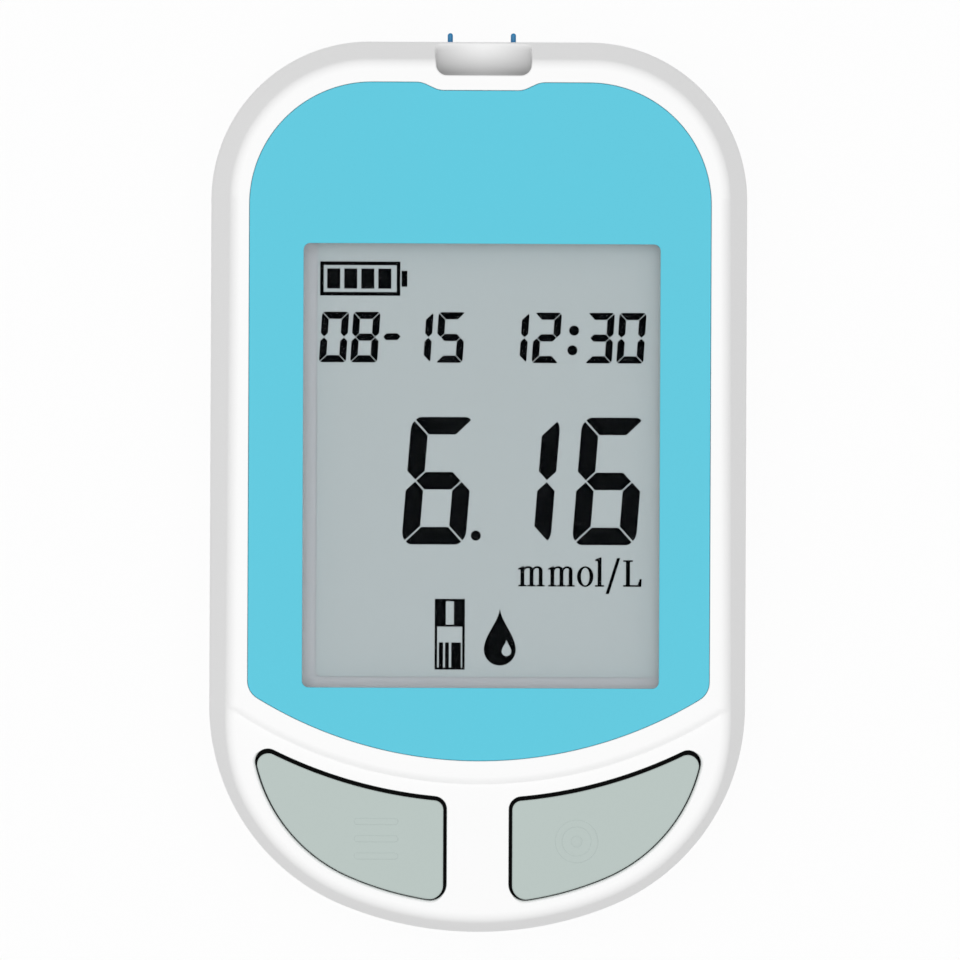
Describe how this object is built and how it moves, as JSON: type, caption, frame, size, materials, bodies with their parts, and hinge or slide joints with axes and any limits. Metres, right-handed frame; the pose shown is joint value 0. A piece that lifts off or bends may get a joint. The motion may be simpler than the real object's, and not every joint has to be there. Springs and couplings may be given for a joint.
{
  "type": "blood glucose meter",
  "caption": "Hand-held blood glucose meter: flared housing with rounded button end, display, sprung buttons, strip port and battery door.",
  "frame": {"origin": "centre of the flat back face that the meter rests on", "axes": "+X to the right of the display, +Y towards the strip port, +Z out of the display"},
  "size_m": [0.056, 0.0939, 0.021],
  "materials": {
    "white_shell": "satin moulded ABS",
    "fascia_print": "matt sky blue film",
    "clear_lens": "clear acrylic, hard coated",
    "foam": "closed-cell foam",
    "polariser": "grey polarising film",
    "lcd_glass": "polished float glass",
    "reflector": "silvered film",
    "carrier": "natural nylon",
    "elastomer": "layered silicone rubber",
    "board": "green solder mask on glass epoxy",
    "chip": "moulded epoxy",
    "buzzer": "moulded plastic",
    "button_cap": "matt grey moulded ABS",
    "switch": "moulded nylon",
    "guide_blue": "blue moulded ABS",
    "socket": "moulded nylon",
    "gold_contact": "gold-plated spring bronze",
    "spring_steel": "nickel-plated spring steel",
    "cell_can": "plain metallic sleeve",
    "screw": "zinc-plated steel"
  },
  "bodies": {
    "meter": {"front_housing": "white_shell", "rear_housing": "white_shell", "fascia_panel": "fascia_print", "display_lens": "clear_lens", "lcd_gasket": "foam", "lcd_polariser": "polariser", "lcd_front_glass": "lcd_glass", "lcd_rear_glass": "lcd_glass", "lcd_reflector": "reflector", "lcd_carrier": "carrier", "lcd_connector": "elastomer", "main_board": "board", "board_chips": "chip", "buzzer": "buzzer", "switch_bases": "switch", "strip_guide": "guide_blue", "strip_connector": "socket", "strip_contacts": "gold_contact", "cell_left": "cell_can", "cell_right": "cell_can", "end_contacts": "spring_steel", "link_contact": "spring_steel", "housing_screws": "screw", "board_screws": "screw"},
    "left_button": {"button_left": "button_cap", "switch_plunger_left": "switch"},
    "right_button": {"button_right": "button_cap", "switch_plunger_right": "switch"},
    "door": {"battery_door": "white_shell"}
  },
  "joints": [
    {"name": "left_press", "type": "slide", "parent": "meter", "child": "left_button", "axis": [0, 0, -1], "range_m": [0, 0.0005], "stiffness_N_per_m": 3000, "springref_m": -0.00005},
    {"name": "right_press", "type": "slide", "parent": "meter", "child": "right_button", "axis": [0, 0, -1], "range_m": [0, 0.0005], "stiffness_N_per_m": 3000, "springref_m": -0.00005},
    {"name": "door_hinge", "type": "hinge", "parent": "meter", "child": "door", "pos_m": [0, 0.0293, 0], "axis": [1, 0, 0], "range_deg": [0, 60]}
  ]
}
